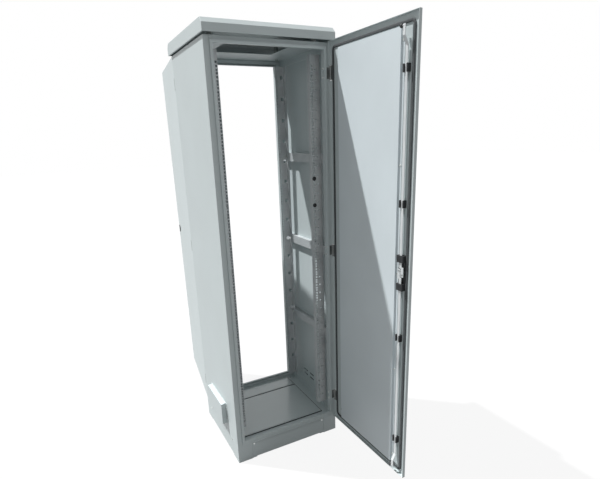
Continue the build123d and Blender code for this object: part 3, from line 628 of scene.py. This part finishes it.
@dataclass(frozen=True)
class Seat:
    """Where one screw sits: the middle of its head's underside, its outward axis and its sizes."""

    origin: np.ndarray
    axis: np.ndarray
    radius: float
    height: float
    shank: float

    @classmethod
    def of(cls, points: np.ndarray, axes: list[np.ndarray]) -> "Seat":
        """Read a screw's seat from its solid.

        Its axis is the candidate along which its span differs most from its width. The underside
        lies at its widest points, and its top is the nearer end beyond them.

        Args:
            points: The solid's points.
            axes: Candidate axes.

        Returns:
            The screw's seat.
        """
        middle = (points.min(axis=0) + points.max(axis=0)) / 2
        spans = [np.ptp(points @ axis) for axis in axes]
        width = np.median([np.ptp(points @ axis) for axis in (RIGHT, AHEAD, UP)])
        axis = axes[int(np.argmax(np.abs(np.array(spans) - width)))]
        along = (points - middle) @ axis
        radial = np.linalg.norm(points - middle - along[:, None] * axis, axis=1)
        underside = along[np.argmax(radial)]
        ends = np.array((along.min(), along.max())) - underside
        reach = np.abs(ends)
        top = ends[np.argmin(np.where(reach > LEAST_STEP, reach, np.inf))]
        shank = float(reach.max()) if reach.min() > LEAST_STEP else 0.0
        return cls(middle + underside * axis, axis * np.sign(top), float(radial.max()), float(abs(top)),
                   shank)


@dataclass(frozen=True)
class FormedScrews:
    """Pressed screw heads with a driven recess, turned on a polar grid about each seat."""

    drive: Drive = Drive.CROSS
    columns: int = 40
    recess_rows: int = 12
    rim_rows: int = 9
    shank_radius_share: float = 0.44
    cross_half_share: float = 0.13
    cross_reach_share: float = 0.55
    cross_depth_share: float = 0.62
    edge_share: float = 0.06
    dome_share: float = 0.7
    dome_fall: float = 0.18
    rim_power: float = 0.6
    cup_head_share: float = 0.62
    cup_valley: Span = (0.66, 0.42)
    cup_crest: Span = (0.72, 0.5)
    cup_power: float = 0.7
    cup_shank_share: float = 0.7

    def profile(self, shank: float) -> tuple[np.ndarray, np.ndarray]:
        """Half section from the top's middle over the rim to the tip.

        The top is a shallow dome, height 1 less a share of the radius squared; the rim is a
        quarter superellipse down to the underside, and the shank goes straight back to a closed
        tip. With a cup, the screw's own head is narrower and stands in a dished washer, which
        rises from a valley to its crest and falls to its edge as another quarter superellipse.

        Args:
            shank: Length of the shank in head heights.

        Returns:
            Radii and heights in shares of the head's radius and height.
        """
        dome = np.linspace(0.0, self.dome_share, self.recess_rows)
        turn = np.linspace(0.0, pi / 2, self.rim_rows)[1:]
        top = 1.0 - self.dome_fall * dome ** 2
        radii = np.concatenate((dome, self.dome_share + (1.0 - self.dome_share) * np.sin(turn)))
        heights = np.concatenate((top, top[-1] * np.cos(turn) ** self.rim_power))
        core = self.shank_radius_share
        if self.drive is Drive.CUP_CROSS:
            crest, rise = self.cup_crest
            valley, dip = self.cup_valley
            radii = np.concatenate((radii * self.cup_head_share, (valley, crest),
                                    crest + (1.0 - crest) * np.sin(turn)))
            heights = np.concatenate((rise + (1.0 - rise) * heights, (dip, rise),
                                      rise * np.cos(turn) ** self.cup_power))
            core = core * self.cup_shank_share
        radii = np.concatenate((radii, (core, core, 0.0)))
        heights = np.concatenate((heights, (0.0, -shank, -shank)))
        return radii, heights

    def recess(self, x: np.ndarray, y: np.ndarray) -> np.ndarray:
        """Depth share of the pressed cross: two crossing bars with soft flanks.

        Args:
            x: Places across the head in shares of its radius.
            y: Places up the head in shares of its radius.

        Returns:
            0 outside the cross and 1 at its floor.
        """
        def inside(distance: np.ndarray) -> np.ndarray:
            """Soft step that rises over the edge's width."""
            return np.clip(distance / self.edge_share + 0.5, 0.0, 1.0)

        half, reach = self.cross_half_share, self.cross_reach_share
        level = inside(half - np.abs(y)) * inside(reach - np.abs(x))
        upright = inside(half - np.abs(x)) * inside(reach - np.abs(y))
        return np.maximum(level, upright)

    def surface(self, seat: Seat) -> tuple[np.ndarray, np.ndarray]:
        """Points and quads of one screw.

        A point at angle a and profile radius r lies at r times (cos a, sin a) across the axis and
        at the profile's height along it, less the recess on the top.

        Args:
            seat: Where the screw sits.

        Returns:
            The points and the quads.
        """
        radii, heights = self.profile(seat.shank / seat.height)
        angle = np.linspace(0.0, 2.0 * pi, self.columns, endpoint=False)
        x = radii[:, None] * np.cos(angle)
        y = radii[:, None] * np.sin(angle)
        level = np.repeat(heights[:, None], self.columns, axis=1)
        scale = self.cup_head_share if self.drive is Drive.CUP_CROSS else 1.0
        sunk = self.cross_depth_share * self.recess(x / scale, y / scale)
        level[:self.recess_rows] -= (sunk * scale)[:self.recess_rows]
        first, second = across(seat.axis)
        points = (seat.origin + seat.radius * (x[..., None] * first + y[..., None] * second)
                  + seat.height * level[..., None] * seat.axis)
        faces = grid_faces(len(radii), self.columns, False, True)
        return points.reshape(-1, 3), faces[:, ::-1]

    def replace(self, node: str, axes: list[np.ndarray], material: bpy.types.Material, slot: Slot,
                body: str) -> bpy.types.Object:
        """Stand formed screws in the place of a packed group.

        Args:
            node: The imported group.
            axes: Candidate axes of its screws.
            material: Their finish.
            slot: The record's slot for it.
            body: The body that they move with.

        Returns:
            One object with all the screws.
        """
        points, faces, count = [], [], 0
        for solid in islands(node):
            screw_points, screw_faces = self.surface(Seat.of(solid, axes))
            points.append(screw_points)
            faces.append(screw_faces + count)
            count += len(screw_points)
        piece = make_piece(f"formed_{node}", np.concatenate(points), np.concatenate(faces), material, slot,
                           body, node)
        close_poles(piece.data)
        return piece


def close_poles(mesh: bpy.types.Mesh) -> None:
    """Merge the points that meet at poles and turn the faces outwards.

    Args:
        mesh: A turned or swept surface, which becomes one closed skin.
    """
    shell = bmesh.new()
    shell.from_mesh(mesh)
    bmesh.ops.remove_doubles(shell, verts=shell.verts, dist=MERGE_GRAIN)
    bmesh.ops.recalc_face_normals(shell, faces=shell.faces)
    shell.to_mesh(mesh)
    shell.free()


@dataclass(frozen=True)
class DoorAxes:
    """A door's own directions at rest, read from its joints."""

    end: str
    origin: np.ndarray
    along: np.ndarray
    inward: np.ndarray

    @classmethod
    def of(cls, end: str) -> "DoorAxes":
        """Read them from the record.

        The door swings about its hinge, its rollers turn about its width, and its key about its
        inward normal.

        Args:
            end: Front or rear.

        Returns:
            The door's directions.
        """
        joints = {joint["name"]: joint for joint in frame["joints"]}
        return cls(end, np.array(joints[f"{end}_door_swing"]["pos_m"], dtype=float),
                   np.array(joints[f"{end}_upper_roller_spin"]["axis"], dtype=float),
                   np.array(joints[f"{end}_key_turn"]["axis"], dtype=float))

    def local(self, points: np.ndarray) -> np.ndarray:
        """Places along the door, inwards and up from points in the frame."""
        away = points - self.origin * (1.0, 1.0, 0.0)
        return np.stack((away @ self.along, away @ self.inward, away @ UP), axis=-1)

    def world(self, u: np.ndarray, inwards: np.ndarray, height: np.ndarray) -> np.ndarray:
        """Points in the frame from places along the door, inwards and up."""
        return (self.origin * (1.0, 1.0, 0.0) + u[..., None] * self.along + inwards[..., None] * self.inward
                + height[..., None] * UP)

    def box(self, node: str) -> tuple[np.ndarray, np.ndarray]:
        """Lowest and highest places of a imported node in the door's own directions."""
        places = self.local(node_points(node)[0])
        return places.min(axis=0), places.max(axis=0)


@dataclass(frozen=True)
class FoamBead:
    """Foam seal run round a door: a soft bead on a rounded rectangle, a little uneven."""

    width: float = 11.0 * MM
    corner: float = 16.0 * MM
    ripple: float = 0.25 * MM
    ripple_waves: tuple[int, ...] = (23, 61, 97)
    profile_points: int = 20
    run_points: int = 90
    corner_points: int = 10
    squareness: float = 3.2

    def route(self, half_u: float, half_z: float) -> tuple[np.ndarray, np.ndarray]:
        """Middle line of the bead and its outward normals.

        Four straight runs joined by quarter circles; a normal turns evenly through each corner.

        Args:
            half_u: Half of the line's width.
            half_z: Half of its height.

        Returns:
            Places and normals, one row each, about the middle.
        """
        places, normals = [], []
        inner = np.array((half_u - self.corner, half_z - self.corner))
        signs = ((1, 1), (-1, 1), (-1, -1), (1, -1))
        for index, sign in enumerate(signs):
            turn = np.linspace(index * pi / 2, (index + 1) * pi / 2, self.corner_points)
            normal = np.stack((np.cos(turn), np.sin(turn)), axis=-1)
            centre = inner * sign
            places.append(centre + self.corner * normal)
            normals.append(normal)
            share = np.linspace(0.0, 1.0, self.run_points + 2)[1:-1, None]
            ahead = inner * signs[(index + 1) % 4]
            run = centre + (ahead - centre) * share + self.corner * normal[-1]
            places.append(run)
            normals.append(np.repeat(normal[-1:], self.run_points, axis=0))
        return np.concatenate(places), np.concatenate(normals)

    def build(self, axes: DoorAxes, material: bpy.types.Material) -> bpy.types.Object:
        """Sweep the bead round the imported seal's own line.

        The section is a superellipse as wide and as deep as the solid, with a ripple of three
        waves round the line taken off its depth.

        Args:
            axes: The door's directions.
            material: The foam's finish.

        Returns:
            The bead's object.
        """
        node = f"{axes.end}_door_seal"
        low, high = axes.box(node)
        middle = (low + high) / 2
        half = (high - low) / 2
        line, normal = self.route(half[0] - self.width / 2, half[2] - self.width / 2)
        turn = np.linspace(0.0, 2.0 * pi, self.profile_points, endpoint=False)
        power = 2.0 / self.squareness
        out = np.sign(np.cos(turn)) * np.abs(np.cos(turn)) ** power * self.width / 2
        rise = np.sign(np.sin(turn)) * np.abs(np.sin(turn)) ** power
        lap = np.linspace(0.0, 2.0 * pi, len(line), endpoint=False)
        ripple = sum(np.sin(waves * lap + waves) for waves in self.ripple_waves) / len(self.ripple_waves)
        depth = half[1] - self.ripple * (1.0 + ripple) / 2
        places = line[:, None, :] + out[None, :, None] * normal[:, None, :]
        inwards = low[1] + depth[:, None] * (1.0 + rise[None, :])
        points = axes.world(middle[0] + places[..., 0], inwards, middle[2] + places[..., 1])
        faces = grid_faces(len(line), self.profile_points, True, True)
        piece = make_piece(f"{axes.end}_foam_bead", points.reshape(-1, 3), faces, material, Slot.FOAM,
                           f"{axes.end}_door", node)
        close_poles(piece.data)
        return piece


@dataclass(frozen=True)
class CrownedRoller:
    """Nylon roller turned about its pin: a crowned tread, rounded rims and dished flanks."""

    bore_share: float = 0.33
    crown_share: float = 0.06
    dish_share: float = 0.12
    columns: int = 56
    tread_rows: int = 15
    flank_rows: int = 9

    def build(self, axes: DoorAxes, where: str, material: bpy.types.Material) -> bpy.types.Object:
        """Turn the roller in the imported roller's place.

        The tread's radius falls from the middle by the crown with the fourth power of the place
        across; each flank dips between the rim and the bore by half a sine wave.

        Args:
            axes: The door's directions.
            where: Upper or lower.
            material: Its finish.

        Returns:
            The roller's object.
        """
        node = f"{axes.end}_{where}_roller"
        low, high = axes.box(node)
        middle = (low + high) / 2
        radius = (high[2] - low[2]) / 2
        half = (high[0] - low[0]) / 2
        tread = np.linspace(-1.0, 1.0, self.tread_rows)
        flank = np.linspace(1.0, 0.0, self.flank_rows)[1:]
        bore = self.bore_share
        flank_radius = bore + (1.0 - self.crown_share - bore) * flank
        dip = 1.0 - self.dish_share * np.sin(pi * flank)
        radii = np.concatenate((1.0 - self.crown_share * tread ** 4, flank_radius, flank_radius[::-1]))
        places = np.concatenate((tread, dip, -dip[::-1]))
        angle = np.linspace(0.0, 2.0 * pi, self.columns, endpoint=False)
        reach = radius * radii[:, None]
        points = axes.world(middle[0] + half * np.repeat(places[:, None], self.columns, axis=1),
                            middle[1] + reach * np.cos(angle), middle[2] + reach * np.sin(angle))
        faces = grid_faces(len(radii), self.columns, True, True)
        piece = make_piece(f"{axes.end}_{where}_crowned_roller", points.reshape(-1, 3), faces, material,
                           Slot.NYLON, f"{axes.end}_{where}_wheel", node)
        close_poles(piece.data)
        return piece


@dataclass
class Plinth:
    """Corner pieces and covers on the ground, with the covers' screws."""

    finishes: Finishes
    edge: float = 0.5 * MM
    painted: tuple[str, ...] = ("plinth_corners", "plinth_front_cover", "plinth_rear_cover",
                                "plinth_side_covers")

    def build(self) -> None:
        """Dress the plinth and form its screws."""
        finish_sheets(self.painted, self.finishes.paint, self.edge)
        FormedScrews().replace("plinth_screws", [RIGHT, AHEAD], self.finishes.zinc, Slot.ZINC, "cabinet")


@dataclass
class SheetBody:
    """Base, floor, doorway frames, side panels, hoods and ceiling."""

    finishes: Finishes
    edge: float = 0.4 * MM
    painted: tuple[str, ...] = ("base_frame", "front_frame", "rear_frame", "left_side_panel",
                                "right_side_panel", "left_rain_hood", "right_rain_hood", "top_plate")
    plates: tuple[str, ...] = ("floor_plate", "cable_plate")

    def build(self) -> None:
        """Dress the body's sheets, paint shade into the hoods' insides and form the screws."""
        finish_sheets(self.painted, self.finishes.paint, self.edge)
        finish_sheets(self.plates, self.finishes.floor_paint, self.edge)
        # Painted shade: the hoods' inner faces take the dark foam finish, so that the vent slots read dark.
        for node, outward in (("left_rain_hood", -RIGHT), ("right_rain_hood", RIGHT)):
            paint_shade_inside(node, self.finishes.foam, outward)
        dress("floor_seals", self.finishes.foam)
        screws = FormedScrews()
        screws.replace("body_screws", [RIGHT], self.finishes.zinc, Slot.ZINC, "cabinet")
        screws.replace("floor_screws", [UP], self.finishes.zinc, Slot.ZINC, "cabinet")


@dataclass
class RoofCanopy:
    """The canopy with its spacers and bolts."""

    finishes: Finishes
    edge: float = 1.2 * MM
    edge_facets: int = 3
    fitting_edge: float = 0.4 * MM
    painted: tuple[str, ...] = ("roof_cover",)
    fittings: tuple[str, ...] = ("roof_spacers", "roof_bolts")

    def build(self) -> None:
        """Dress the roof and its fittings."""
        finish_sheets(self.painted, self.finishes.paint, self.edge, self.edge_facets)
        finish_sheets(self.fittings, self.finishes.zinc, self.fitting_edge)


@dataclass
class RackInterior:
    """Rack rails on their depth bars, with bolts and two screws left in a rail."""

    finishes: Finishes
    ends: tuple[str, ...] = ("front", "rear")
    sides: tuple[str, ...] = ("left", "right")

    def build(self) -> None:
        """Dress the rails and bars, and form the cup-washer screws."""
        for side in self.sides:
            dress(f"{side}_depth_bars", self.finishes.galvanised)
            for end in self.ends:
                dress(f"{end}_{side}_rail", self.finishes.galvanised)
        dress("rail_bolts", self.finishes.zinc)
        FormedScrews(Drive.CUP_CROSS).replace("cup_washer_screws", [AHEAD], self.finishes.nylon, Slot.NYLON,
                                              "cabinet")


@dataclass
class DoorLeaf:
    """One door: tray, seal, lining, hinges and rod lock."""

    finishes: Finishes
    end: str
    edge: float = 0.5 * MM
    painted: tuple[str, ...] = ("door_shell",)
    linings: tuple[str, ...] = ("door_lining",)
    hinges: tuple[str, ...] = ("hinge_brackets", "hinge_leaves")
    rods: tuple[str, ...] = ("upper_rod", "lower_rod")
    plated: tuple[str, ...] = ("lock_cam", "lock_barrel")
    moulded: tuple[str, ...] = ("rod_guides", "lock_case", "lock_rosette")

    def build(self) -> None:
        """Dress the door and form its seal, screws and rollers."""
        axes = DoorAxes.of(self.end)
        looks = self.finishes
        # The linings take the lighter coat of painted light, and the hinges the darker zinc of painted shade.
        for material, names in ((looks.paint, self.painted), (looks.lightened_lining_paint, self.linings),
                                (looks.shaded_hinge_zinc, self.hinges), (looks.rod_zinc, self.rods),
                                (looks.zinc, self.plated), (looks.nylon, self.moulded)):
            finish_sheets(tuple(f"{self.end}_{name}" for name in names), material, self.edge)
        FoamBead().build(axes, self.finishes.foam)
        FormedScrews().replace(f"{self.end}_lining_screws", [axes.inward], self.finishes.zinc, Slot.ZINC,
                               f"{self.end}_door")
        for where in ("upper", "lower"):
            CrownedRoller().build(axes, where, self.finishes.nylon)


def pose_of(right: np.ndarray, up: np.ndarray, back: np.ndarray, place: Triple = (0.0, 0.0, 0.0)) -> Matrix:
    """Matrix of an object that looks against its back direction.

    Args:
        right: Its own right.
        up: Its own up.
        back: The direction behind it.
        place: Where it stands.

    Returns:
        The matrix with these as its columns.
    """
    columns = np.column_stack((right, up, back, place))
    return Matrix(np.vstack((columns, (0.0, 0.0, 0.0, 1.0))).tolist())


def seen_rays(graph: Graph) -> Value:
    """Mask that tells sight from light.

    Args:
        graph: The tree that takes the mask.

    Returns:
        1 for rays that see or mirror the surroundings, and 0 for the light that they give.
    """
    path = graph.node("ShaderNodeLightPath")
    seen, glossy, through = (Value(graph, path.outputs[name])
                             for name in ("Is Camera Ray", "Is Glossy Ray", "Is Transmission Ray"))
    return (seen + glossy + through).rise(0.0, 1.0)


@dataclass
class Studio:
    """Pale floor, plain light and the camera of the photograph."""

    image_width: float = 600.0
    image_height: float = 479.0
    focal_pixels: float = 454.684
    centre_pixels: Span = (299.0707, 273.9248)
    eye: Triple = (-0.90978, -2.23522, 1.64555)
    view_right: Triple = (0.8845871794, -0.4650539382, -0.0350764390)
    view_down: Triple = (-0.1636385417, -0.2390698826, -0.9571144231)
    sensor: float = 36.0
    clip_near: float = 0.01
    clip_far: float = 200.0
    floor_half: float = 30.0
    floor_lines: int = 3
    sun_from: Triple = (-0.37, 0.325, 0.87)
    sun_strength: float = 4.4
    sun_spread: float = 0.02
    ambient: float = 0.36
    floor_white_share: float = 0.9
    floor_pale: Colour = linear(243, 243, 243)
    floor_bounce: Colour = linear(138, 138, 138)

    def camera(self) -> None:
        """Set the camera from its eye point, its image axes and its principal point."""
        right, up = np.array(self.view_right), -np.array(self.view_down)
        data = bpy.data.cameras.new("camera")
        data.sensor_fit = "HORIZONTAL"
        data.sensor_width = self.sensor
        data.lens = self.focal_pixels / self.image_width * self.sensor
        data.shift_x = (self.image_width / 2 - self.centre_pixels[0]) / self.image_width
        data.shift_y = (self.centre_pixels[1] - self.image_height / 2) / self.image_width
        data.clip_start = self.clip_near
        data.clip_end = self.clip_far
        camera = bpy.data.objects.new("camera", data)
        camera.matrix_world = pose_of(right, up, np.cross(right, up), self.eye)
        bpy.context.scene.collection.objects.link(camera)
        bpy.context.scene.camera = camera

    def lamp(self) -> None:
        """Add one distant lamp high on the left, a little behind the object."""
        data = bpy.data.lights.new("key", "SUN")
        data.energy = self.sun_strength
        data.angle = self.sun_spread
        lamp = bpy.data.objects.new("key", data)
        axis = np.array(self.sun_from) / np.linalg.norm(self.sun_from)
        lamp.matrix_world = pose_of(*across(axis), axis)
        bpy.context.scene.collection.objects.link(lamp)

    def world(self) -> None:
        """Make even pale surroundings, white where they are seen or mirrored."""
        world = bpy.data.worlds.new("surroundings")
        bpy.context.scene.world = world
        graph = Graph(world)
        strength = self.ambient + seen_rays(graph) * (1.0 - self.ambient)
        ground = graph.add("ShaderNodeBackground", {}, {"Color": WHITE, "Strength": strength})
        graph.node("ShaderNodeOutputWorld", {}, {"Surface": ground})

    def floor(self) -> None:
        """Lay a pale floor that keeps a light shadow of the object.

        A flat square grid; what sees it gets a mix of its matt tone and plain white.
        """
        side = np.linspace(-self.floor_half, self.floor_half, self.floor_lines)
        x, y = np.meshgrid(side, side)
        points = np.stack((x, y, np.zeros_like(x)), axis=-1).reshape(-1, 3)
        faces = grid_faces(self.floor_lines, self.floor_lines, False, False)
        mesh = bpy.data.meshes.new("studio_floor")
        mesh.from_pydata(points.tolist(), [], faces.tolist())
        material = bpy.data.materials.new("pale_floor")
        graph = Graph(material)
        seen = seen_rays(graph)
        tone = graph.tint(seen, self.floor_bounce, self.floor_pale)
        matt = graph.add("ShaderNodeBsdfDiffuse", {}, {"Color": tone})
        white = graph.add("ShaderNodeEmission", {}, {"Color": WHITE})
        mixed = graph.add("ShaderNodeMixShader", {}, {0: seen * self.floor_white_share, 1: matt, 2: white})
        graph.node("ShaderNodeOutputMaterial", {}, {"Surface": mixed})
        mesh.materials.append(material)
        floor = bpy.data.objects.new("studio_floor", mesh)
        bpy.context.scene.collection.objects.link(floor)

    def build(self) -> None:
        """Set up the whole studio."""
        bpy.context.scene.view_settings.view_transform = "Standard"
        self.camera()
        self.lamp()
        self.world()
        self.floor()


def main() -> None:
    """Build the sub-assemblies in order, then the studio."""
    logging.basicConfig(level=logging.INFO, format="%(name)s %(message)s")
    finishes = Finishes()
    Plinth(finishes).build()
    SheetBody(finishes).build()
    RoofCanopy(finishes).build()
    RackInterior(finishes).build()
    for end in ("front", "rear"):
        DoorLeaf(finishes, end).build()
    Studio().build()


if __name__ == "__main__":
    main()
